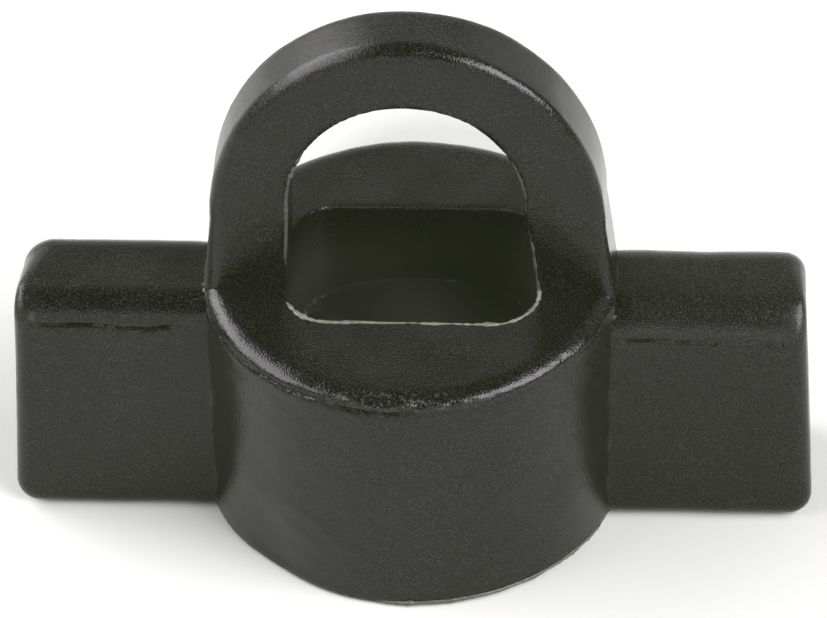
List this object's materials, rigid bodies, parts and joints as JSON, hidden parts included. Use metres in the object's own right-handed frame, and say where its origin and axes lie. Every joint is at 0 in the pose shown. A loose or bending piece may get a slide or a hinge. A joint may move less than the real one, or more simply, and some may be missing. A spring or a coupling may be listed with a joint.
{
  "type": "wing nut with eye",
  "caption": "Black moulded wing nut with a D-shaped eye on its boss and a knurled threaded bush inside; turned by hand on a stud.",
  "frame": {"origin": "on the thread's axis, in the plane of the seating face: the bottom centre of the object's box", "axes": "+Z along the thread's axis, from the seating face to the eye; +X along the wings, the object's longest way; +Y through the hole of the eye"},
  "size_m": [0.0488, 0.0258, 0.0335],
  "materials": {
    "black_nylon": "satin black, very fine grain",
    "brass": "turned and knurled"
  },
  "bodies": {
    "root": {"wing_body": "black_nylon", "threaded_bush": "brass"}
  },
  "joints": []
}
